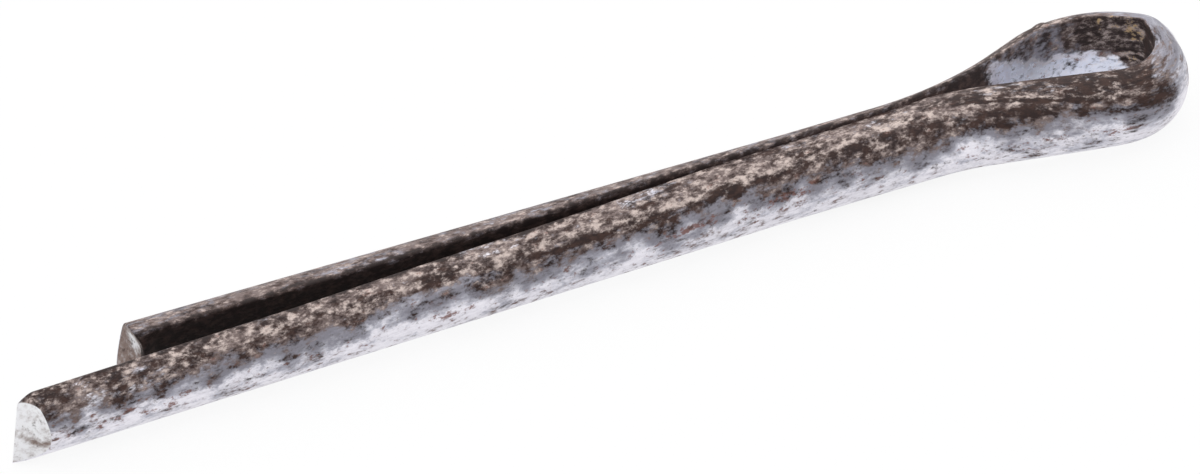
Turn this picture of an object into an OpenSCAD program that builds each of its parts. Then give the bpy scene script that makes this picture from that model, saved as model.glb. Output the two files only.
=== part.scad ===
// Split pin: one length of half-round wire, folded flat to flat round an eye.
// +X runs along the shank towards the eye and +Z is up, square to the plane of the fold.
// The origin is on the shank's axis, where the two flats part to form the eye.
// The long leg lies on the -Y side and the short leg on the +Y side.
// Lengths are in millimetres and angles in degrees.

/* [Wire] */
// Diameter of the closed shank, which is two wire sections flat to flat
shank_d = 2.9; // [2.6:0.1:3.1]
// Hairline gap that spring-back leaves between the flats
flat_gap = 0.06; // [0.02:0.02:0.2]

/* [Legs] */
// Length over which the flats lie closed, behind the eye
closed_run = 4; // [1:0.5:6]
// Reach of the long leg, from the origin to the end of its flat
long_reach = 35; // [20:0.5:60]
// Reach of the short leg, from the origin to the end of its flat
short_reach = 29.6; // [15:0.2:60]
// Angle at which the long leg springs open
long_splay = 1.3; // [0.2:0.1:4]
// Angle at which the short leg springs open
short_splay = 0.6; // [0.2:0.1:4]
// Bend radius where a leg springs open
spring_r = 12; // [8:1:20]
// Bevel of the long leg's end, with the round side cut back
long_bevel = 32; // [0:1:45]
// Bevel of the short leg's end, with the round side cut back, or the flat where it is negative
short_bevel = -7; // [-15:1:45]

/* [Long side of the eye] */
// Straight run before the long side leaves the shank's axis
long_neck_run = 2; // [1:0.1:3]
// Radius of the neck bend on the long side, at the flat
long_neck_r = 10; // [7:0.5:14]
// Angle of the neck bend on the long side
long_neck_angle = 13; // [11:0.5:16]
// Straight run between the neck bend and the head
long_side = 4.8; // [4:0.1:5.6]

/* [Head and short side of the eye] */
// Inside radius of the head's main bend
head_r = 1.9; // [1.5:0.1:2.1]
// Angle of the head's main bend
head_angle = 93; // [86:1:100]
// Inside radius of the head's tight corner
corner_r = 0.4; // [0.2:0.1:0.7]
// Straight run between the tight corner and the shoulder
corner_run = 0.2; // [0.1:0.1:0.6]
// Inside radius of the shoulder bend
shoulder_r = 3.9; // [3.4:0.1:4.4]
// Angle of the shoulder bend
shoulder_angle = 57; // [50:1:64]
// Radius of the neck bend on the short side, at the flat
short_neck_r = 15.5; // [13:0.5:17]
// Angle of the neck bend on the short side
short_neck_angle = 23; // [21:0.5:26]

/* [Hidden] */
$fn = 96;

// How much thinner a bend is drawn than a run, and how far it laps into the runs
bend_inset = 0.002;
bend_lap = 0.02;

// The tight corner turns whatever the other bends leave of the fold
corner_angle = 180 + long_neck_angle + short_neck_angle - head_angle - shoulder_angle;

// Headings of the two straight runs whose lengths close the eye
head_run_heading = head_angle - long_neck_angle;
short_side_heading = 180 + short_neck_angle;

function heading(angle) = [cos(angle), sin(angle)];

function cross_z(from, to) = from.x * to.y - from.y * to.x;

// Where a bend that starts at one heading and turns left by an angle ends up
function left_bend(radius, from, turn) =
    radius * [sin(from + turn) - sin(from), cos(from) - cos(from + turn)];

// Sum of every run and bend of the eye except the two closing runs
open_loop = [long_neck_run, 0]
    + left_bend(-long_neck_r, 0, -long_neck_angle)
    + long_side * heading(-long_neck_angle)
    + left_bend(head_r, -long_neck_angle, head_angle)
    + left_bend(corner_r, head_run_heading, corner_angle)
    + corner_run * heading(head_run_heading + corner_angle)
    + left_bend(shoulder_r, head_run_heading + corner_angle, shoulder_angle)
    + left_bend(-short_neck_r, short_side_heading, -short_neck_angle);

// Lengths of the two closing runs, which bring the wire back to the origin
head_dir = heading(head_run_heading);
side_dir = heading(short_side_heading);
head_run = cross_z(side_dir, open_loop) / cross_z(head_dir, side_dir);
short_side = cross_z(open_loop, head_dir) / cross_z(head_dir, side_dir);

// Section of the wire: a half disc whose round side faces +X, drawn thinner by an inset
module half_round(inset = 0) {
    intersection() {
        circle(r = shank_d / 2 - inset);
        translate([flat_gap / 2 + inset, -shank_d]) square([shank_d, 2 * shank_d]);
    }
}

// The wire is laid from one stretch to the next: each of these modules draws its own
// stretch along +X with the round side on -Y, and moves its children to its end.
module run(length) {
    rotate([90, 0, 90]) linear_extrude(length) mirror([1, 0]) half_round();
    translate([length, 0, 0]) children();
}

// The arc of a bend, about the Z axis and centred on +X. It is a hair thinner than the
// runs and laps into them at both ends.
module bend_arc(radius, angle) {
    lap_angle = bend_lap / radius * 180 / PI;
    rotate([0, 0, -angle / 2 - lap_angle]) rotate_extrude(angle = angle + 2 * lap_angle)
        translate([radius, 0]) children();
}

// Turns left, which keeps the flat on the inside of the bend
module bend_in(radius, angle) {
    translate([0, radius, 0]) {
        rotate([0, 0, angle / 2 - 90]) bend_arc(radius, angle) half_round(bend_inset);
        rotate([0, 0, angle]) translate([0, -radius, 0]) children();
    }
}

// Turns right, which puts the flat on the outside of the bend
module bend_out(radius, angle) {
    translate([0, -radius, 0]) {
        rotate([0, 0, 90 - angle / 2]) bend_arc(radius, angle)
            mirror([1, 0]) half_round(bend_inset);
        rotate([0, 0, -angle]) translate([0, radius, 0]) children();
    }
}

// A straight run that ends in a sheared face; the bevel cuts its round side back
module sheared_run(length, bevel) {
    difference() {
        run(length + shank_d);
        translate([length, 0, 0]) rotate([0, 0, -bevel])
            translate([0, -2 * shank_d, -shank_d]) cube([3 * shank_d, 4 * shank_d, 2 * shank_d]);
    }
}

// One leg, from the origin along -X, with its round side on +Y
module leg(reach, splay, bevel) {
    rotate([0, 0, 180]) run(closed_run) bend_out(spring_r, splay)
        sheared_run(reach - closed_run - spring_r * sin(splay), bevel);
}

// The eye, from the long leg's root round to the short leg's root
module eye() {
    run(long_neck_run)
        bend_out(long_neck_r, long_neck_angle)
        run(long_side)
        bend_in(head_r, head_angle)
        run(head_run)
        bend_in(corner_r, corner_angle)
        run(corner_run)
        bend_in(shoulder_r, shoulder_angle)
        run(short_side)
        bend_out(short_neck_r, short_neck_angle);
}

module split_pin() {
    color([0.56, 0.55, 0.55]) {
        mirror([0, 1, 0]) leg(long_reach, long_splay, long_bevel);
        eye();
        leg(short_reach, short_splay, short_bevel);
    }
}

split_pin();
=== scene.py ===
import math
import bpy
import numpy as np
from mathutils import Matrix, Vector, noise


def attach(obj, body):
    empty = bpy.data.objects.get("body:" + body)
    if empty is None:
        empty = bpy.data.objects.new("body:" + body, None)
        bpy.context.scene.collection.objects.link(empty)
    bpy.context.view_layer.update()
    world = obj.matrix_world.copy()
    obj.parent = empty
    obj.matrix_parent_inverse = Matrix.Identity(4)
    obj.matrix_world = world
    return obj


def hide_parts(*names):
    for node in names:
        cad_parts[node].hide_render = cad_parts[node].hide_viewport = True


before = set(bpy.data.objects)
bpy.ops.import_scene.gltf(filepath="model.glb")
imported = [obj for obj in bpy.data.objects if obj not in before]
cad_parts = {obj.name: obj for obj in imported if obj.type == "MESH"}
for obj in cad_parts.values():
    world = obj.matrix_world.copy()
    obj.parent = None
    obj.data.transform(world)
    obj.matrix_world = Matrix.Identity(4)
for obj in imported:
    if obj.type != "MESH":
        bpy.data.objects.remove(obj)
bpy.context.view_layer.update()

MM = 0.001
NODE = "split_pin"


# ---------------------------------------------------------------- the wire's dimensions
# These are the solid's
SHANK_R = 1.45
FLAT_GAP = 0.06
CLOSED_RUN = 4.0
LONG_REACH = 35.0
SHORT_REACH = 29.6
LONG_SPLAY = 1.3
SHORT_SPLAY = 0.6
SPRING_R = 12.0
LONG_NECK_RUN = 2.0
LONG_NECK_R = 10.0
LONG_NECK_ANGLE = 13.0
LONG_SIDE = 4.8
HEAD_R = 1.9
HEAD_ANGLE = 93.0
CORNER_R = 0.4
CORNER_RUN = 0.2
SHOULDER_R = 3.9
SHOULDER_ANGLE = 57.0
SHORT_NECK_R = 15.5
SHORT_NECK_ANGLE = 23.0
SHORT_BEVEL = -7.0
CORNER_ANGLE = 180 + LONG_NECK_ANGLE + SHORT_NECK_ANGLE - HEAD_ANGLE - SHOULDER_ANGLE

# What bending and use have done to this pin, which the solid leaves out.
# The flats are turned about the wire, top outwards, by an angle at each distance past a neck.
LONG_TWIST = ((-37.0, 15.5), (-31.0, 13.5), (-27.0, 12.0), (-22.0, 7.0), (-15.0, 0.0),
              (-8.0, -14.0), (0.0, -28.6))
HEAD_TWIST = -4.0
SHORT_TWIST = ((-3.0, 22.0), (0.7, 12.0), (7.0, 4.0), (15.0, -6.0), (23.0, -12.0), (30.0, -12.0))
RISE = 0.19             # how much higher the short leg lies than the long one
HEAD_THINNING = 0.14    # share of the wire's thickness lost round the head
HEAD_THINNING_LENGTH = 2.6
EDGE_R = 0.10           # rounding of the wire's two edges

# Mesh density
RING_STEP = 0.14        # most length from ring to ring
RING_TURN = 4.0         # most turn from ring to ring
ROUND_POINTS = 46
EDGE_POINTS = 5
FLAT_POINTS = 16


# ---------------------------------------------------------------- the wire's centre line
# Stretches of the centre line that other places are measured from, by their number
PARTING, LONG_NECK, HEAD_BEND, SHOULDER, SHORT_CLOSED = 3, 4, 6, 10, 13


def bend(radius, angle):
    """A stretch that turns left by an angle: its length and its turn."""
    return radius * math.radians(abs(angle)), angle


def walk(stretches, start_heading=0.0):
    """Points and headings along the wire from stretches of (length, left turn), and the number
    of the point at which each stretch starts."""
    points, headings, starts = [np.zeros(2)], [math.radians(start_heading)], [0]
    for length, turn in stretches:
        steps = max(2, math.ceil(length / RING_STEP), math.ceil(abs(turn) / RING_TURN))
        start, heading = points[-1], headings[-1]
        for step in range(1, steps + 1):
            part = step / steps
            angle = math.radians(turn) * part
            if turn:
                radius = length / math.radians(turn)
                move = radius * np.array([math.sin(heading + angle) - math.sin(heading),
                                          math.cos(heading) - math.cos(heading + angle)])
            else:
                move = length * part * np.array([math.cos(heading), math.sin(heading)])
            points.append(start + move)
            headings.append(heading + angle)
        starts.append(len(points) - 1)
    return np.array(points), np.array(headings), starts


def closing_runs():
    """Lengths of the head's run and the short side, which bring the wire back to the origin."""
    unknown = (0, 0)
    eye = [(LONG_NECK_RUN, 0), bend(LONG_NECK_R, -LONG_NECK_ANGLE), (LONG_SIDE, 0),
           bend(HEAD_R, HEAD_ANGLE), unknown, bend(CORNER_R, CORNER_ANGLE), (CORNER_RUN, 0),
           bend(SHOULDER_R, SHOULDER_ANGLE), unknown, bend(SHORT_NECK_R, -SHORT_NECK_ANGLE)]
    points, headings, starts = walk(eye)
    ways = [headings[start] for start, stretch in zip(starts, eye) if stretch is unknown]
    directions = np.array([[math.cos(way), math.sin(way)] for way in ways])
    return np.linalg.solve(directions.T, -points[-1])


def centre_line():
    """The wire from the long leg's tip to the short leg's tip, with the origin of the solid."""
    head_run, short_side = closing_runs()
    long_leg = LONG_REACH - CLOSED_RUN - SPRING_R * math.sin(math.radians(LONG_SPLAY))
    short_leg = SHORT_REACH - CLOSED_RUN - SPRING_R * math.sin(math.radians(SHORT_SPLAY))
    points, headings, starts = walk([
        (long_leg, 0), bend(SPRING_R, -LONG_SPLAY), (CLOSED_RUN, 0),
        (LONG_NECK_RUN, 0), bend(LONG_NECK_R, -LONG_NECK_ANGLE), (LONG_SIDE, 0),
        bend(HEAD_R, HEAD_ANGLE), (head_run, 0), bend(CORNER_R, CORNER_ANGLE), (CORNER_RUN, 0),
        bend(SHOULDER_R, SHOULDER_ANGLE), (short_side, 0), bend(SHORT_NECK_R, -SHORT_NECK_ANGLE),
        (CLOSED_RUN, 0), bend(SPRING_R, -SHORT_SPLAY), (short_leg, 0)], LONG_SPLAY)
    return points - points[starts[PARTING]], headings, starts


def ease(x, low, high):
    """0 below low, 1 above high, and a smooth rise between them."""
    part = np.clip((x - low) / (high - low), 0, 1)
    return part * part * (3 - 2 * part)


def within(x, start, end):
    """1 from a start to an end and 0 outside them. Each is a (low, high) ramp."""
    return ease(x, *start) * (1 - ease(x, *end))


def through(x, knots, values):
    """A smooth curve through the knots that never overshoots them."""
    knots, values = np.array(knots, float), np.array(values, float)
    steps, rises = np.diff(knots), np.diff(values) / np.diff(knots)
    slopes = np.empty(len(knots))
    slopes[0], slopes[-1] = rises[0], rises[-1]
    for i in range(1, len(knots) - 1):
        before, after = rises[i - 1], rises[i]
        slopes[i] = 0 if before * after <= 0 else 2 * before * after / (before + after)
    i = np.clip(np.searchsorted(knots, x, side="right") - 1, 0, len(steps) - 1)
    t = np.clip((x - knots[i]) / steps[i], 0, 1)
    return (values[i] * (1 + 2 * t) * (1 - t) ** 2 + values[i + 1] * t * t * (3 - 2 * t)
            + steps[i] * (slopes[i] * t * (1 - t) ** 2 + slopes[i + 1] * t * t * (t - 1)))


class Route:
    """The twisted centre line of the wire, on which its sections are placed."""

    def __init__(self):
        self.points, self.headings, starts = centre_line()
        steps = np.linalg.norm(np.diff(self.points, axis=0), axis=1)
        self.along = np.concatenate([[0], np.cumsum(steps)])
        self.total = self.along[-1]
        self.neck = self.along[starts[LONG_NECK]]
        self.back = self.along[starts[SHORT_CLOSED]]
        self.head = (self.along[starts[HEAD_BEND]] + self.along[starts[SHOULDER]]) / 2

    def twist(self, s):
        knots = [(self.neck + x, turn) for x, turn in LONG_TWIST]
        knots += [(self.head, HEAD_TWIST)]
        knots += [(self.back + x, turn) for x, turn in SHORT_TWIST]
        return np.radians(through(s, *zip(*knots)))

    def place(self, s, ring):
        """Where points of the section lie at distances s along the wire, and which way they
        face: the angle above level."""
        x = np.interp(s, self.along, self.points[:, 0])
        y = np.interp(s, self.along, self.points[:, 1])
        heading = np.interp(s, self.along, self.headings)
        past_tips = np.minimum(s, 0) + np.maximum(s - self.total, 0)
        x = x + past_tips * np.cos(heading)
        y = y + past_tips * np.sin(heading)
        turn = self.twist(s)
        thin = 1 - HEAD_THINNING * np.exp(-((s - self.head) / HEAD_THINNING_LENGTH) ** 4)
        outward = ring[:, 0] * thin * np.cos(turn) + ring[:, 1] * np.sin(turn)
        up = ring[:, 1] * np.cos(turn) - ring[:, 0] * thin * np.sin(turn)
        rise = RISE * (ease(s, self.neck, self.back) - 0.5)
        x = x + outward * np.sin(heading)
        y = y - outward * np.cos(heading)
        return np.column_stack([x, y, up + rise]), np.degrees(np.arctan2(up, outward))


# ---------------------------------------------------------------- the wire's section
# Points of the section are (outward, up), from the middle of the whole shank
FLAT = FLAT_GAP / 2
FLAT_LIMIT = FLAT + 0.2 * EDGE_R         # nearer points are sheared as part of the flat
WORN_FLAT_LIMIT = FLAT + 0.5 * EDGE_R    # and nearer ones than this are worn as part of it


def section():
    """The half-round section with rounded edges, and the distance round it to each point. It
    starts at the lower edge, goes up the round side and comes down the flat."""
    edge_z = math.sqrt((SHANK_R - EDGE_R) ** 2 - (FLAT + EDGE_R) ** 2)
    edge_angle = math.atan2(edge_z, FLAT + EDGE_R)
    turns = edge_angle * np.linspace(-1, 1, ROUND_POINTS)
    points = [(SHANK_R * math.cos(turn), SHANK_R * math.sin(turn)) for turn in turns]
    turns = np.linspace(edge_angle, math.pi, EDGE_POINTS)[1:]
    edge = [(FLAT + EDGE_R + EDGE_R * math.cos(a), edge_z + EDGE_R * math.sin(a)) for a in turns]
    points += edge
    points += [(FLAT, edge_z * (1 - 2 * i / FLAT_POINTS)) for i in range(1, FLAT_POINTS)]
    points += [(outward, -up) for outward, up in reversed(edge)]
    points = np.array(points)
    steps = np.linalg.norm(np.roll(points, -1, axis=0) - points, axis=1)
    return points, np.concatenate([[0], np.cumsum(steps)])


# ---------------------------------------------------------------- sheared ends
# The blades roll one corner of the section over and press the rest out of shape. A face
# function gives how far from the leg's end the cut lies at a point of the section.
END_RUN = 2.2           # length of wire at each end that the blades pressed
END_RINGS = 20          # rings along that length
ROLL_RINGS = 8          # rings round the rolled edge
FACE_RINGS = 9          # rings over the cut face, its edge included
ROLL_SHAPE = 1.2        # 1 is a round edge, 2 a straight chamfer
ROLL_RUN = 0.73         # how far a rolled edge reaches along the wire, for each mm it drops
SHARP_EDGE = 0.04
FACE_CENTRE = np.array([0.75, 0.0])

# Long end: its lower flat is pressed back to a slanting line, from which the cut leans away.
# Leans are how far the cut moves along the wire for each mm on the section.
LONG_LINE_TOP = np.array([0.03, 0.92])
LONG_LINE_NORMAL = np.array([0.924, 0.381])
LONG_LINE_DOWN = np.array([LONG_LINE_NORMAL[1], -LONG_LINE_NORMAL[0]])
LONG_LINE_START = -0.12
LONG_LINE_LEAN = -0.15
LONG_LEAN = 0.66
LONG_LEAN_BELOW = 0.2   # what its lean gains with the square of the way down the line
LONG_PRESS = 0.65       # how fast the pressed flat comes back, for each mm from the cut
LONG_PRESS_WAY = np.array([0.826, 0.620])
LONG_ROLL = 0.5         # how far the top corner is rolled over
LONG_ROLL_ROUND = 0.8   # how far the roll reaches from the top corner down the round side
LONG_ROLL_FLAT = 1.2    # and down the flat
LONG_ROLL_SHAPE = 1.3

# Short end: its face is hollow, and its flat is pressed out towards the long leg
SHORT_HOLLOW = 0.24
SHORT_LEAN = 0.06
SHORT_EDGE = 0.10
SHORT_BURR = 0.15
SHORT_BURR_LENGTH = 0.7
SHORT_BURR_DEPTH = (0.1, 0.9)    # the burr fades out over this distance from the flat
SHORT_BURR_TOP = (1.1, 1.4)      # and over this height


def small_roll(points, size=SHARP_EDGE):
    """The narrow rounding of a sheared face's edge."""
    inward = FACE_CENTRE - points
    return size * inward / np.linalg.norm(inward, axis=1)[:, None]


def past_long_line(points):
    """How far each point lies across the long end's slanting line, and down along it."""
    return (points - LONG_LINE_TOP) @ LONG_LINE_NORMAL, (points - LONG_LINE_TOP) @ LONG_LINE_DOWN


def long_face(points):
    across, down = past_long_line(points)
    lean = LONG_LEAN + LONG_LEAN_BELOW * np.maximum(down, 0) ** 2
    return LONG_LINE_START + LONG_LINE_LEAN * down + across * lean


def long_press(points, distance):
    across, _ = past_long_line(points)
    short_of = np.maximum(-LONG_PRESS * distance - across, 0)
    return points + short_of[:, None] * LONG_PRESS_WAY


def long_roll(points):
    """How far each point of the long end's edge is rolled over, most at the top corner."""
    radial = -points / np.linalg.norm(points, axis=1)[:, None]
    on_flat = points[:, 0] < FLAT_LIMIT
    corner_angle = math.acos(FLAT / SHANK_R)
    below_corner = SHANK_R * (corner_angle - np.arctan2(points[:, 1], points[:, 0]))
    flat_way = (SHANK_R - points[:, 1]) / LONG_ROLL_FLAT
    way = np.clip(np.where(on_flat, flat_way, below_corner / LONG_ROLL_ROUND), 0, 1)
    direction = np.where(on_flat[:, None], np.array([0.0, -1.0]), radial)
    share = np.where(on_flat, 1 - way, (1 - way) ** LONG_ROLL_SHAPE)
    return small_roll(points) * way[:, None] + LONG_ROLL * share[:, None] * direction


def short_face(points):
    across, up = points.T
    return math.tan(math.radians(SHORT_BEVEL)) * across + SHORT_LEAN * up - SHORT_HOLLOW * up ** 2


def short_roll(points):
    return small_roll(points, SHORT_EDGE)


def short_press(points, distance):
    depth, up = points.T
    out = SHORT_BURR * (1 - ease(distance, 0, SHORT_BURR_LENGTH))
    out = out * (1 - ease(depth, *SHORT_BURR_DEPTH)) * (1 - ease(up, *SHORT_BURR_TOP))
    return points - np.column_stack([out, np.zeros(len(points))])


def sheared_rings(outline, face, press, roll):
    """Rings from END_RUN to the cut, then over its face: (distance from the end, points). The
    face's centre comes apart from them."""
    rolled = roll(outline)
    run = ROLL_RUN * np.linalg.norm(rolled, axis=1)
    cut = face(press(outline, np.zeros(len(outline))))
    rings = []
    for i in range(1, END_RINGS + 1):
        distance = END_RUN + (cut + run - END_RUN) * (i / END_RINGS)
        rings.append((distance, press(outline, distance - cut)))
    for i in range(1, ROLL_RINGS + 1):
        angle = math.pi / 2 * i / ROLL_RINGS
        left = run * (1 - math.sin(angle) ** ROLL_SHAPE)
        moved = press(outline + rolled * (1 - max(math.cos(angle), 0) ** ROLL_SHAPE), left)
        rings.append((face(moved) + left, moved))
    edge = rings[-1][1]
    for i in range(1, FACE_RINGS):
        moved = edge + (FACE_CENTRE - edge) * (i / FACE_RINGS)
        rings.append((face(moved), moved))
    centre = FACE_CENTRE[None, :]
    return rings, (face(centre), centre)


# ---------------------------------------------------------------- places on the wire
# Places on the wire are (distance from the long tip, distance round the section). The second
# is 0 at the middle of the round side, 2.28 at the upper edge and 3.73 at the middle of the flat.
# Spots are (place, half length, half width), and streaks are (start, end, half width).
STREAK_START, STREAK_END = (-0.05, 0.05), (0.95, 1.05)    # ramps, as shares of its length


def round_way(ring):
    """Distance round the section of each of its points."""
    angle = np.arctan2(ring[:, 1], ring[:, 0])
    flat_way = SHANK_R * (math.pi / 2 + 1) - ring[:, 1]
    return np.where(ring[:, 0] < WORN_FLAT_LIMIT, flat_way, SHANK_R * angle)


def spot(s, way, at, length, width):
    """1 at a place on the wire and 0 far from it, as a soft oval."""
    return np.exp(-((s - at[0]) / length) ** 4 - ((way - at[1]) / width) ** 4)


def streak(s, way, start, end, width):
    """1 along a line on the wire and 0 beside it and past its ends."""
    part = (s - start[0]) / (end[0] - start[0])
    line = start[1] + (end[1] - start[1]) * part
    return np.exp(-((way - line) / width) ** 4) * within(part, STREAK_START, STREAK_END)


def wander(s, way, size):
    """A smooth random value about 0 at each place on the wire, in swells of about a size."""
    return np.array([noise.noise(Vector((a / size, b / size, size))) for a, b in zip(s, way)])


# A small lump on the eye's far side and a nick at its head: a spot and its height
DENTS = ((((51.5, 1.85), 0.16, 0.35), 0.07), (((47.9, 1.7), 0.14, 0.7), -0.08))


def dented(s, ring):
    way = round_way(ring)
    height = sum(height * spot(s, way, *dent) for dent, height in DENTS)
    return ring * (1 + height / SHANK_R)[:, None]


# ---------------------------------------------------------------- wear, stains and painted light
# Spots and streaks of wear, and what each sort adds to the kinds of wear
DARK_SPOTS = (((3.4, 1.57), 0.35, 0.5), ((3.3, 1.0), 0.3, 0.3), ((0.8, 1.92), 0.8, 0.4),
              ((0.6, 1.0), 0.25, 0.5), ((6.3, 1.5), 0.9, 0.25), ((16.6, 1.4), 0.8, 0.3),
              ((24.5, 1.0), 0.7, 0.35), ((28.0, 0.9), 0.6, 0.25), ((43.2, 1.5), 1.6, 0.45),
              ((45.0, 0.45), 0.55, 0.5), ((89.9, 1.7), 0.4, 0.4), ((41.2, 1.6), 0.12, 0.5))
RUST_SPOTS = (((16.7, 0.05), 0.8, 0.14), ((5.1, 0.1), 0.6, 0.16), ((30.5, 0.0), 1.2, 0.2),
              ((26.0, 0.1), 1.5, 0.2))
GOLD_SPOTS = (((50.5, 2.3), 0.25, 0.25), ((49.7, 2.5), 0.3, 0.25), ((49.6, 3.0), 0.12, 0.3),
              ((48.7, 2.6), 0.7, 0.5), ((48.3, 3.1), 0.4, 0.3), ((48.4, 4.0), 0.3, 0.3),
              ((44.6, 1.5), 0.5, 0.3))
SPOTS = ((DARK_SPOTS, {"oxide": 0.14}), (RUST_SPOTS, {"rust": 0.25}), (GOLD_SPOTS, {"gold": 0.3}))
HEAD_SPOT = ((47.1, 2.15), 0.55, 0.35)    # a dark spot that stays off the flat

DARK_STREAKS = (((37.8, 1.2), (43.2, 0.8), 0.07), ((20.0, 1.1), (23.5, 1.0), 0.1))
RUST_STREAKS = (((0.3, 0.17), (3.8, 0.38), 0.08),)
CREAM_STRIPES = (((5.5, 1.75), (12.0, 1.7), 0.22), ((12.0, 1.5), (24.0, 1.3), 0.18),
                 ((24.0, 1.2), (37.0, 1.1), 0.2), ((38.0, 1.15), (43.5, 0.95), 0.16))
DARK_STRIPES = (((24.0, 0.85), (31.0, 0.8), 0.2), ((31.0, 0.8), (37.0, 0.65), 0.2),
                ((38.5, 0.6), (44.0, 0.4), 0.18))
STREAKS = ((DARK_STREAKS, {"oxide": 0.3}), (RUST_STREAKS, {"rust": 0.2, "oxide": 0.14}),
           (CREAM_STRIPES, {"cream": 0.09, "oxide": -0.04}),
           (DARK_STRIPES, {"oxide": 0.11, "film": 0.2}))

# Stretches of the wire as (low, high) ramps, in distance from the long tip
TIP_END = (4.5, 7.0)
EYE = ((35.5, 39.0), (52.0, 56.0))
EYE_NEAR_SIDE = ((37.0, 39.0), (44.5, 46.0))
EYE_INSIDE = ((36.5, 38.5), (54.0, 55.6))
EYE_STAINED_FROM = (45.5, 46.5)
EYE_CLEANER_FROM = (49.8, 51.5)
HEAD = ((44.6, 46.2), (49.0, 51.0))
SHORT_LEG_FROM = (57.0, 61.0)
NEAR_SIDE_WAY = (1.5, 2.0)       # this ramp is in distance round the section

# Ways of facing, by the angle above level. It wanders, by swells of (size, angle).
LEAN_SWELLS = ((2.2, 14.0), (0.8, 18.0))
UPWARD = (10.0, 50.0)
DOWNWARD = (20.0, 70.0)
HEAD_UPWARD = (25.0, 60.0)
# Around this angle the wire is darkened with smoky film and oxide specks: a painted dark
# reflection of the surroundings in front.
DARK_REFLECTION_LEAN, DARK_REFLECTION_SPREAD = 24.0, 22.0
RUSTY, RUSTY_SPREAD = -4.0, 14.0
HEAD_UP_LOSS = 0.7               # shares of the upward wear and of the frontward painted dark reflection that are lost
HEAD_REFLECTION_LOSS = 0.5
TIP_REFLECTION_LOSS = 0.3

# Soot and painted shade in the gap between the legs, and painted shade along the wire's upper
# edge
GAP_FROM = (4.0, 7.0)
GAP_SHARE_BEFORE = 0.4           # share of the gap's soot and painted shade on the long flat past the short leg
GAP_TOP = (0.9, 1.4)             # heights on the flat between which the soot and painted shade thin
EDGE_FROM = (2.8, 3.8)
EDGE_WAY = (1.85, 2.2)

# Upper limit of the clean strip inside the eye, as (distance along the wire, height on the flat)
CLEAN_LIMIT = ((46.5, -1.2), (48.8, -0.45), (50.0, 0.1), (51.7, 0.25), (52.5, 0.5), (53.7, 1.0),
               (55.0, 1.5))
CLEAN_LIMIT_SOFTNESS = (-0.15, 0.25)
CLEAN_LIMIT_SWELL, CLEAN_LIMIT_SWING = 0.5, 0.35
# The flat just inside the eye's head gets at least a share of soot: painted shade in the bend's
# hollow.
INSIDE_HEAD, INSIDE_HEAD_REACH, INSIDE_HEAD_SHADE = 47.2, (0.5, 1.3), 0.7


class WearAndPaintedLight:
    """How dense each kind of wear and painted light is at points of the wire."""

    def __init__(self, count, **amounts):
        self.amounts = {kind: np.full(count, amount) for kind, amount in amounts.items()}

    def add(self, where, **changes):
        """Adds a change to each kind, in full where a share is 1."""
        for kind, change in changes.items():
            self.amounts[kind] = self.amounts[kind] + change * where

    def bring(self, where, **amounts):
        """Brings each kind to an amount, all the way where a share is 1."""
        for kind, amount in amounts.items():
            self.amounts[kind] = self.amounts[kind] * (1 - where) + amount * where

    def columns(self, *kinds):
        return np.column_stack([self.amounts[kind] for kind in kinds])


def wear_and_painted_light(s, ring, lean, cut):
    """Oxide specks, smoky film, cream specks, rust, golden specks and soot at points of the wire.
    They gather where it faces up. Soot also paints shade in the gap and inside the eye's head,
    and film and oxide paint a dark reflection on the side facing front."""
    way = round_way(ring)
    lean = lean + sum(angle * wander(s, way, size) for size, angle in LEAN_SWELLS)
    on_flat = (ring[:, 0] < WORN_FLAT_LIMIT) & (cut == 0)
    off_flat = ~on_flat
    head = within(s, *HEAD) * off_flat
    eye = within(s, *EYE) * off_flat
    near_side = within(s, *EYE_NEAR_SIDE) * off_flat
    tip = 1 - ease(s, *TIP_END)
    facing_up = ease(lean, *UPWARD) * off_flat * (1 - HEAD_UP_LOSS * head)
    dark_reflection = np.exp(-((lean - DARK_REFLECTION_LEAN) / DARK_REFLECTION_SPREAD) ** 2) * off_flat
    dark_reflection = dark_reflection * (1 - HEAD_REFLECTION_LOSS * head) * (1 - TIP_REFLECTION_LOSS * tip)

    worn_and_painted = WearAndPaintedLight(len(s), oxide=0.15, film=0.10, cream=0.12, rust=0.22, gold=0.1, soot=0.0)
    worn_and_painted.add(facing_up, oxide=0.17, film=0.15, cream=0.24)
    worn_and_painted.add(facing_up * eye, oxide=0.06)
    # a painted dark reflection of the surroundings, laid on as film and oxide specks
    worn_and_painted.add(dark_reflection, oxide=0.10, film=0.42)
    worn_and_painted.add(ease(-lean, *DOWNWARD) * off_flat, oxide=-0.2)
    worn_and_painted.add(np.exp(-((lean - RUSTY) / RUSTY_SPREAD) ** 2), rust=0.08)
    worn_and_painted.add(head, oxide=-0.1)
    worn_and_painted.add(head * ease(lean, *HEAD_UPWARD), film=0.3)
    worn_and_painted.add(near_side * ease(way, *NEAR_SIDE_WAY), oxide=0.12)
    worn_and_painted.add(ease(s, *SHORT_LEG_FROM) * off_flat, oxide=-0.04, film=0.25, cream=-0.06)
    worn_and_painted.add(on_flat, oxide=0.21, film=0.6, cream=0.13)
    for spots, changes in SPOTS:
        for place in spots:
            worn_and_painted.add(spot(s, way, *place), **changes)
    for streaks, changes in STREAKS:
        for place in streaks:
            worn_and_painted.add(streak(s, way, *place), **changes)
    worn_and_painted.add(spot(s, way, *HEAD_SPOT) * off_flat, oxide=0.32)
    add_soot_and_shade(worn_and_painted, s, ring[:, 1], way, lean, on_flat, eye)
    wear_inside(worn_and_painted, s, ring[:, 1], way, on_flat)
    worn_and_painted.bring(cut, oxide=0.12, rust=0.1)
    return worn_and_painted


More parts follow.
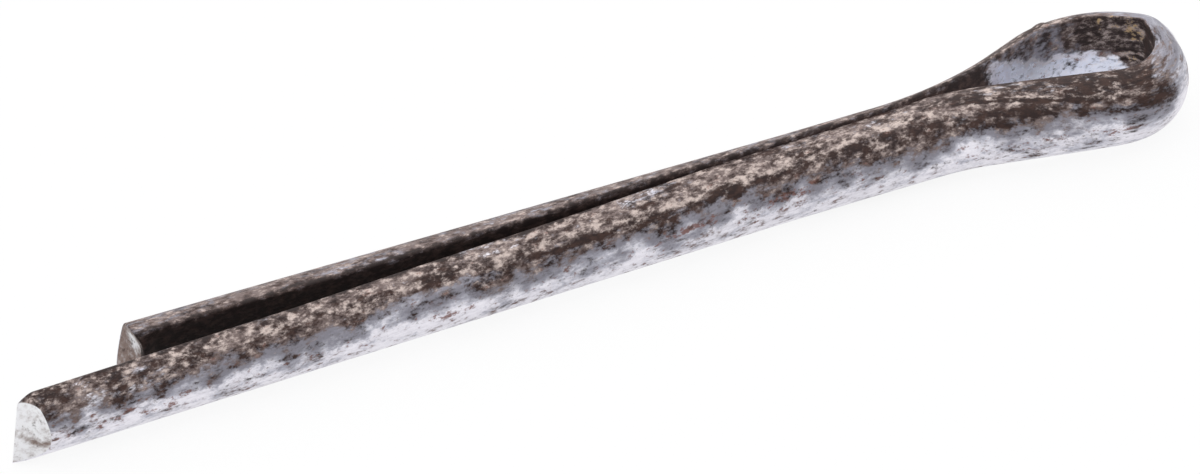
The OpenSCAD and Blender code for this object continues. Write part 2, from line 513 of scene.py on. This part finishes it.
def add_soot_and_shade(worn_and_painted, s, height, way, lean, on_flat, eye):
    """Soot and painted shade on the flats in the gap, less at their tops and past the short leg,
    and a painted shadow line along the upper edge.
    """
    gap_shade = on_flat * (GAP_SHARE_BEFORE + (1 - GAP_SHARE_BEFORE) * ease(s, *GAP_FROM))
    # painted shade between the legs, laid on as soot
    worn_and_painted.add(gap_shade, soot=0.95)
    worn_and_painted.add(gap_shade * ease(height, *GAP_TOP), soot=-0.45)
    # a painted shadow line along the upper edge, beside the gap
    edge_shade = ease(way, *EDGE_WAY) * ~on_flat * (lean > 0) * ease(s, *EDGE_FROM)
    worn_and_painted.add(edge_shade * (1 - eye), soot=0.5)


def wear_inside(worn_and_painted, s, height, way, on_flat):
    """Inside the eye the wire is clean below a ragged limit, and stained above it; near the head
    its flat is darkened with painted shade.
    """
    inside = on_flat * within(s, *EYE_INSIDE)
    limit = through(s, *zip(*CLEAN_LIMIT)) - CLEAN_LIMIT_SWING * wander(s, way, CLEAN_LIMIT_SWELL)
    stained = inside * ease(height - limit, *CLEAN_LIMIT_SOFTNESS) * ease(s, *EYE_STAINED_FROM)
    worn_and_painted.bring(inside, oxide=0.19, soot=0.0)
    worn_and_painted.add(inside, film=-1.15, cream=-0.15)
    worn_and_painted.add(stained, oxide=0.08, soot=0.3, film=1.5, cream=0.12)
    worn_and_painted.add(stained * (1 - ease(s, *EYE_CLEANER_FROM)), oxide=0.06, soot=0.1, cream=0.2)
    # painted shade in the hollow of the eye's head, laid on as soot
    at_head = on_flat * (1 - ease(np.abs(s - INSIDE_HEAD), *INSIDE_HEAD_REACH))
    worn_and_painted.amounts["soot"] = np.maximum(worn_and_painted.amounts["soot"], INSIDE_HEAD_SHADE * at_head)


# Marks on the sheared faces: place on the section, half width, half height and how pale
LONG_FACE_MARKS = (((1.1, -0.15), 0.55, 0.16, -0.42), ((0.85, -1.25), 0.5, 0.15, -0.9),
                   ((1.3, 0.5), 0.2, 0.9, -0.12))
SHORT_FACE_MARKS = (((0.5, 0.55), 0.35, 0.4, 0.75), ((0.9, -0.7), 0.5, 0.5, 0.1))
LONG_FACE_PALENESS = 0.7
SHORT_FACE_PALENESS = 0.12
LONG_FACE_WITHIN = 5.0           # the long end's face is nearer than this to the long tip


def paleness(s, ring):
    """How pale each point of a sheared face is, from 0 for brown to 1 for bare metal."""
    at_long_end = s < LONG_FACE_WITHIN
    pale = np.where(at_long_end, LONG_FACE_PALENESS, SHORT_FACE_PALENESS)
    for marks, here in ((LONG_FACE_MARKS, at_long_end), (SHORT_FACE_MARKS, ~at_long_end)):
        for (x, y), half_width, half_height, change in marks:
            shape = -((ring[:, 0] - x) / half_width) ** 2 - ((ring[:, 1] - y) / half_height) ** 2
            pale = pale + change * here * np.exp(shape)
    return pale


# ---------------------------------------------------------------- the pin's mesh
# For UVs, the wire is cut into four strips one above the other, with its end faces beside them
UV_STRIPS = 4
UV_SIZE = 31.6                   # how many mm the whole UV square measures
UV_LEFT = 2.0
UV_MARGIN = 0.25
FACE_U = 27.5
LONG_FACE_V = 2.0
SHORT_FACE_V = 6.0


def make_uv(mesh, s, ring, around, ring_count):
    """Lays out a mesh made of rings, given each vertex's place on the wire."""
    count = len(around) - 1
    strip_length = s.max() / UV_STRIPS
    strip_height = around[-1] + UV_MARGIN
    places = np.empty((len(mesh.loops), 2))
    for polygon in mesh.polygons:
        corners = list(polygon.vertices)
        loops = list(polygon.loop_indices)
        row = min(corners) // count
        on_long_face = row < FACE_RINGS - 1
        if on_long_face or row >= ring_count - FACE_RINGS:
            lift = LONG_FACE_V if on_long_face else SHORT_FACE_V
            for loop, corner in zip(loops, corners):
                places[loop] = (FACE_U + ring[corner, 0], lift + ring[corner, 1])
            continue
        columns = [corner % count for corner in corners]
        wraps = max(columns) - min(columns) > 1
        strip = min(max(int(np.mean(s[corners]) / strip_length), 0), UV_STRIPS - 1)
        for loop, corner, column in zip(loops, corners, columns):
            way = around[count] if wraps and column == 0 else around[column]
            left = UV_LEFT + s[corner] - strip * strip_length
            places[loop] = (left, strip * strip_height + UV_MARGIN + way)
    layer = mesh.uv_layers.new(name="OFBake")
    layer.data.foreach_set("uv", (places / UV_SIZE).astype(np.float32).ravel())


def ring_faces(ring_count, count):
    """Quads between neighbouring rings, and triangles from the first and last rings to the two
    centres, which come after all the rings."""
    faces = []
    for i in range(ring_count - 1):
        for j in range(count):
            k = (j + 1) % count
            faces.append((i * count + j, (i + 1) * count + j, (i + 1) * count + k, i * count + k))
    centre, last = ring_count * count, (ring_count - 1) * count
    for j in range(count):
        k = (j + 1) % count
        faces.append((centre, j, k))
        faces.append((centre + 1, last + k, last + j))
    return faces


def keep(mesh, name, values):
    """Keeps three values for each vertex of a mesh, for its material to read."""
    attribute = mesh.attributes.new(name, "FLOAT_VECTOR", "POINT")
    attribute.data.foreach_set("vector", np.asarray(values, np.float32).ravel())


def make_pin():
    """The whole wire as one closed mesh, which keeps its unbent coordinates and its wear and
    painted light.
    """
    route = Route()
    outline, around = section()
    count = len(outline)
    long_rings, long_centre = sheared_rings(outline, long_face, long_press, long_roll)
    short_rings, short_centre = sheared_rings(outline, short_face, short_press, short_roll)
    plain = route.along[(route.along > END_RUN) & (route.along < route.total - END_RUN)]
    rings = list(reversed(long_rings))
    rings += [(np.full(count, distance), outline) for distance in plain]
    rings += [(route.total - distance, ring) for distance, ring in short_rings]
    centres = [long_centre, (route.total - short_centre[0], short_centre[1])]

    s = np.concatenate([distance for distance, ring in rings + centres])
    ring = np.concatenate([ring for distance, ring in rings + centres])
    vertices, lean = route.place(s, dented(s, ring))
    mesh = bpy.data.meshes.new("wire")
    mesh.from_pydata((vertices * MM).tolist(), [], ring_faces(len(rings), count))
    row = np.arange(len(s)) // count
    cut = np.where((row < FACE_RINGS) | (row >= len(rings) - FACE_RINGS), 1.0, 0.0)
    worn_and_painted = wear_and_painted_light(s, ring, lean, cut)
    keep(mesh, "wire", np.column_stack([s, ring]))
    keep(mesh, "wear_and_painted_light", worn_and_painted.columns("oxide", "film", "cream"))
    keep(mesh, "stain_and_shade", worn_and_painted.columns("rust", "gold", "soot"))
    keep(mesh, "cut", np.column_stack([cut, paleness(s, ring), np.zeros(len(s))]))
    mesh.polygons.foreach_set("use_smooth", [True] * len(mesh.polygons))
    mesh.update()
    make_uv(mesh, s, ring, around, len(rings))
    pin = bpy.data.objects.new("wire", mesh)
    bpy.context.collection.objects.link(pin)
    return pin


pin = make_pin()
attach(pin, "root")
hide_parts(NODE)


# ---------------------------------------------------------------- materials
# A Mix node's sockets for numbers and for colours, which share their names
NUMBER_UNDER, NUMBER_TOP, NUMBER_RESULT = 2, 3, 0
COLOUR_UNDER, COLOUR_TOP, COLOUR_RESULT = 6, 7, 2
SEEN_RAYS = ("Is Camera Ray", "Is Glossy Ray", "Is Transmission Ray")


class Nodes:
    """A node tree, with short names for the few kinds of node used here."""

    def __init__(self, tree):
        self.tree = tree

    def new(self, kind):
        return self.tree.nodes.new("ShaderNode" + kind)

    def put(self, socket, value):
        if isinstance(value, bpy.types.NodeSocket):
            self.tree.links.new(value, socket)
        else:
            socket.default_value = value

    def kept(self, name):
        """The three values kept on each vertex under a name."""
        node = self.new("Attribute")
        node.attribute_name = name
        return node.outputs["Vector"]

    def split(self, vector):
        node = self.new("SeparateXYZ")
        self.put(node.inputs[0], vector)
        return node.outputs

    def stretch(self, vector, scale):
        node = self.new("VectorMath")
        node.operation = "MULTIPLY"
        self.put(node.inputs[0], vector)
        node.inputs[1].default_value = scale
        return node.outputs[0]

    def noise(self, place, scale, detail, roughness):
        node = self.new("TexNoise")
        self.put(node.inputs["Vector"], place)
        node.inputs["Scale"].default_value = scale
        node.inputs["Detail"].default_value = detail
        node.inputs["Roughness"].default_value = roughness
        return node.outputs[0]

    def sum(self, *terms):
        """Sum of (value, weight) terms."""
        total = 0.0
        for value, weight in terms:
            node = self.new("Math")
            node.operation = "MULTIPLY_ADD"
            self.put(node.inputs[0], value)
            node.inputs[1].default_value = weight
            self.put(node.inputs[2], total)
            total = node.outputs[0]
        return total

    def mask(self, value, low, high, full=1.0):
        """0 where a value is at low, full where it is at high, and a smooth rise between."""
        node = self.new("MapRange")
        node.interpolation_type = "SMOOTHSTEP"
        self.put(node.inputs["Value"], value)
        node.inputs["From Min"].default_value = low
        node.inputs["From Max"].default_value = high
        node.inputs["To Max"].default_value = full
        return node.outputs[0]

    def over(self, share, under, top):
        """A colour laid over another by a share from 0 to 1."""
        node = self.new("Mix")
        node.data_type = "RGBA"
        self.put(node.inputs[0], share)
        self.put(node.inputs[COLOUR_UNDER], under)
        self.put(node.inputs[COLOUR_TOP], top)
        return node.outputs[COLOUR_RESULT]

    def between(self, share, under, top):
        """A number between two others by a share from 0 to 1."""
        node = self.new("Mix")
        self.put(node.inputs[0], share)
        self.put(node.inputs[NUMBER_UNDER], under)
        self.put(node.inputs[NUMBER_TOP], top)
        return node.outputs[NUMBER_RESULT]

    def bump(self, height, strength, distance):
        node = self.new("Bump")
        node.inputs["Strength"].default_value = strength
        node.inputs["Distance"].default_value = distance
        self.put(node.inputs["Height"], height)
        return node.outputs[0]

    def seen(self):
        """1 or more for a ray from the camera, from metal or through glass, and 0 for others."""
        rays = self.new("LightPath")
        return self.sum(*[(rays.outputs[kind], 1.0) for kind in SEEN_RAYS])


class Surface(Nodes):
    """A material and its node tree."""

    def __init__(self, name):
        self.material = bpy.data.materials.new(name)
        self.material.use_nodes = True
        super().__init__(self.material.node_tree)
        self.shader = self.tree.nodes["Principled BSDF"]


STEEL = (0.87, 0.85, 0.91, 1)
STEEL_GREY = (0.56, 0.54, 0.60, 1)
BLUE_GREY = (0.44, 0.445, 0.52, 1)
CLEAN_STEEL = (0.84, 0.875, 1.0, 1)
# The smoky film colour is also used for a painted dark reflection on the side facing front.
SMOKE_AND_DARK_REFLECTION = (0.26, 0.25, 0.285, 1)
DULL_FILM = (0.19, 0.145, 0.135, 1)
CREAM = (0.62, 0.52, 0.475, 1)
# The oxide colours are also used for that painted dark reflection.
OXIDE_AND_REFLECTION = (0.022, 0.0115, 0.0105, 1)
BROWN_OXIDE_AND_REFLECTION = (0.055, 0.029, 0.023, 1)
RUST = (0.24, 0.11, 0.09, 1)
GOLD = (0.62, 0.43, 0.22, 1)
# The soot colours are also used for painted shade in the gap and inside the eye's head.
SOOT_AND_SHADE = (0.026, 0.017, 0.016, 1)
BROWN_SOOT_AND_SHADE = (0.085, 0.055, 0.048, 1)
BARE_CUT = (0.96, 0.96, 0.975, 1)
STAINED_CUT = (0.26, 0.19, 0.165, 1)

BARE_METALLIC = 0.95
SHEEN_ON_FILM = 0.2
CLEAN_ROUGHNESS = 0.25
DULL_ROUGHNESS = 0.6
BUMP_STRENGTH = 0.5
BUMP_HEIGHT = 0.03

# Noise patterns: how far each is squeezed along, outward and up, then scale, detail, roughness.
# The wire's own coordinates are used, so a small squeeze along it draws a pattern out.
PATTERNS = {
    "wide": ((0.38, 1.0, 1.0), 0.8, 2.0, 0.6),
    "patches": ((0.38, 1.0, 1.0), 1.7, 3.0, 0.6),
    "mottle": ((0.6, 1.0, 1.0), 3.6, 4.0, 0.72),
    "other": ((0.5, 1.1, 0.9), 4.3, 4.0, 0.7),
    "fine": ((0.7, 1.0, 1.0), 13.0, 2.0, 0.6),
    "lines": ((0.03, 1.0, 1.0), 13.0, 2.0, 0.6),
}


def make_steel():
    """Worn wire: drawn steel under a smoky film, cream patches, oxide specks and soot, with
    painted shade in the soot and a painted dark reflection in the film and oxide.
    """
    surface = Surface("worn_steel_and_painted_light")
    place = surface.kept("wire")
    source = {name: surface.noise(surface.stretch(place, squeeze), scale, detail, roughness)
              for name, (squeeze, scale, detail, roughness) in PATTERNS.items()}
    source["oxide"], source["film"], source["cream"] = surface.split(surface.kept("wear_and_painted_light"))
    source["rust"], source["gold"], source["soot"] = surface.split(surface.kept("stain_and_shade"))
    cut, source["pale"], _ = surface.split(surface.kept("cut"))
    mottle, other = source["mottle"], source["other"]

    def blend(**weights):
        """A weighted sum of noise patterns and kept amounts."""
        return surface.sum(*[(source[name], weight) for name, weight in weights.items()])

    grey = surface.mask(blend(wide=0.4, other=0.6), 0.38, 0.62, 0.55)
    blue = surface.mask(blend(patches=0.45, mottle=0.4, fine=0.15, film=0.35), 0.51, 0.67, 0.9)
    drawn_lines = surface.mask(source["lines"], 0.5, 0.7, 0.3)
    clean = surface.mask(blend(film=1.0, mottle=0.8), 0.15, -0.1)
    # smoky film, with a painted dark reflection on the side facing front
    film = surface.mask(blend(wide=0.2, patches=0.3, mottle=0.5, film=0.5), 0.58, 0.80, 0.95)
    dull_film = surface.mask(blend(wide=0.3, other=0.7, cream=0.9), 0.64, 0.78)
    cream = surface.mask(blend(mottle=0.6, other=0.4, cream=0.5), 0.66, 0.82)
    rust = surface.mask(blend(fine=0.2, other=0.8, rust=0.5), 0.70, 0.80, 0.8)
    oxide = surface.mask(blend(mottle=-0.65, patches=0.4, fine=-0.15, oxide=0.5), -0.105, 0.075)
    # soot, with painted shade in the gap and inside the eye's head
    soot = surface.mask(blend(mottle=-0.55, patches=0.4, fine=0.15, soot=0.6), 0.12, 0.34)
    gold = surface.mask(blend(fine=0.3, mottle=0.7, gold=0.5), 0.73, 0.82, 0.9)
    bare = surface.mask(blend(mottle=0.4, other=0.6, pale=0.5), 0.55, 0.9)
    cut_colour = surface.over(bare, STAINED_CUT, BARE_CUT)
    oxide_and_reflection_colour = surface.over(surface.mask(other, 0.4, 0.65), OXIDE_AND_REFLECTION, BROWN_OXIDE_AND_REFLECTION)
    soot_and_shade_colour = surface.over(surface.mask(mottle, 0.42, 0.66), SOOT_AND_SHADE, BROWN_SOOT_AND_SHADE)

    # The layers from the steel up: share, colour and dullness, from 0 for metal to 1
    colour = STEEL
    for share, top in ((grey, STEEL_GREY), (blue, BLUE_GREY), (drawn_lines, STEEL_GREY)):
        colour = surface.over(share, colour, top)
    dull = 0.0
    for share, top, dullness in (
            (clean, CLEAN_STEEL, 0.3), (film, SMOKE_AND_DARK_REFLECTION, 0.75), (dull_film, DULL_FILM, 0.7),
            (cream, CREAM, 0.75), (cut, cut_colour, 0.75), (rust, RUST, 0.9),
            (oxide, oxide_and_reflection_colour, 1.0), (soot, soot_and_shade_colour, 1.0), (gold, GOLD, 0.7)):
        colour = surface.over(share, colour, top)
        dull = surface.between(share, dull, dullness)
    rough = blend(lines=0.25, mottle=0.25, fine=0.2)
    rough = surface.between(clean, rough, CLEAN_ROUGHNESS)
    rough = surface.between(surface.mask(dull, 0.1, 0.8), rough, DULL_ROUGHNESS)
    height = surface.sum((source["lines"], 0.3), (source["fine"], 0.3), (mottle, 0.4),
                         (oxide, -0.2), (cream, 0.1))

    shader = surface.shader.inputs
    surface.put(shader["Specular IOR Level"], SHEEN_ON_FILM)
    surface.put(shader["Base Color"], colour)
    surface.put(shader["Metallic"], surface.between(dull, BARE_METALLIC, 0.0))
    surface.put(shader["Roughness"], rough)
    surface.put(shader["Normal"], surface.bump(height, BUMP_STRENGTH, BUMP_HEIGHT * MM))
    return surface.material


pin.data.materials.append(make_steel())


# ---------------------------------------------------------------- floor, lights and camera
FLOOR_HALF = 600.0
FLOOR_COLOUR = (0.94, 0.94, 0.94, 1)
WHITE = (1, 1, 1, 1)
SHADOW_SHARE = 0.1      # how much of the floor's look is its lit surface, with the shadow


def make_floor(z):
    """A plain white floor, which a camera or metal sees as white with a faint shadow."""
    half, z = FLOOR_HALF * MM, z * MM
    mesh = bpy.data.meshes.new("floor")
    mesh.from_pydata([(-half, -half, z), (half, -half, z), (half, half, z), (-half, half, z)],
                     [], [(0, 1, 2, 3)])
    floor = bpy.data.objects.new("floor", mesh)
    bpy.context.collection.objects.link(floor)
    surface = Surface("floor")
    surface.put(surface.shader.inputs["Base Color"], FLOOR_COLOUR)
    surface.put(surface.shader.inputs["Roughness"], 1.0)
    surface.put(surface.shader.inputs["Specular IOR Level"], 0.0)
    glow = surface.new("Emission")
    surface.put(glow.inputs["Color"], WHITE)
    surface.put(glow.inputs["Strength"], 1.0)
    mix = surface.new("MixShader")
    surface.put(mix.inputs[0], surface.mask(surface.seen(), 0.0, 1.0, 1 - SHADOW_SHARE))
    surface.put(mix.inputs[1], surface.shader.outputs[0])
    surface.put(mix.inputs[2], glow.outputs[0])
    surface.put(surface.tree.nodes["Material Output"].inputs[0], mix.outputs[0])
    mesh.materials.append(surface.material)


make_floor(min(vertex.co.z for vertex in pin.data.vertices) / MM)

VIEW_AZIMUTH = -0.5     # radians about +Z, from looking along +Y
VIEW_HEIGHT = 0.6       # radians above the floor
VIEW_ROLL = -0.0122     # radians
VIEW_DISTANCE = 590.0
LENS = 498.0
SENSOR = 36.0
CLIP_START = 10.0
AIM = (-12.0, 0.0, -RISE / 2)
AIM_RIGHT, AIM_UP = 0.4742, 0.0753    # how far the camera is moved aside, without turning


def make_camera():
    toward = Vector((math.sin(VIEW_AZIMUTH) * math.cos(VIEW_HEIGHT),
                     -math.cos(VIEW_AZIMUTH) * math.cos(VIEW_HEIGHT), math.sin(VIEW_HEIGHT)))
    level = Vector((math.cos(VIEW_AZIMUTH), math.sin(VIEW_AZIMUTH), 0))
    upright = toward.cross(level)
    right = level * math.cos(VIEW_ROLL) - upright * math.sin(VIEW_ROLL)
    up = level * math.sin(VIEW_ROLL) + upright * math.cos(VIEW_ROLL)
    place = Vector(AIM) + right * AIM_RIGHT + up * AIM_UP + toward * VIEW_DISTANCE
    camera = bpy.data.objects.new("camera", bpy.data.cameras.new("camera"))
    camera.data.lens = LENS
    camera.data.sensor_width = SENSOR
    camera.data.clip_start = CLIP_START * MM
    camera.matrix_world = Matrix((
        (right.x, up.x, toward.x, place.x * MM), (right.y, up.y, toward.y, place.y * MM),
        (right.z, up.z, toward.z, place.z * MM), (0, 0, 0, 1)))
    bpy.context.collection.objects.link(camera)
    bpy.context.scene.camera = camera


make_camera()

LIGHT_PLACE = (0.0, 450.0, 600.0)
LIGHT_SIZE = 2000.0
LIGHT_ENERGY = 12.5     # watts
WORLD_GREY = (0.24, 0.24, 0.255, 1)


def make_light():
    """One large soft light overhead, set back so that the far side is lit more."""
    data = bpy.data.lights.new("overhead", "AREA")
    data.shape = "DISK"
    data.size = LIGHT_SIZE * MM
    data.energy = LIGHT_ENERGY
    light = bpy.data.objects.new("overhead", data)
    light.location = Vector(LIGHT_PLACE) * MM
    bpy.context.collection.objects.link(light)


def make_world():
    """Dim grey surroundings, which a camera or metal sees as white."""
    world = bpy.data.worlds.new("world")
    world.use_nodes = True
    nodes = Nodes(world.node_tree)
    sky = nodes.over(nodes.seen(), WORLD_GREY, WHITE)
    nodes.put(nodes.tree.nodes["Background"].inputs["Color"], sky)
    bpy.context.scene.world = world


make_light()
make_world()
bpy.context.scene.view_settings.view_transform = "Standard"
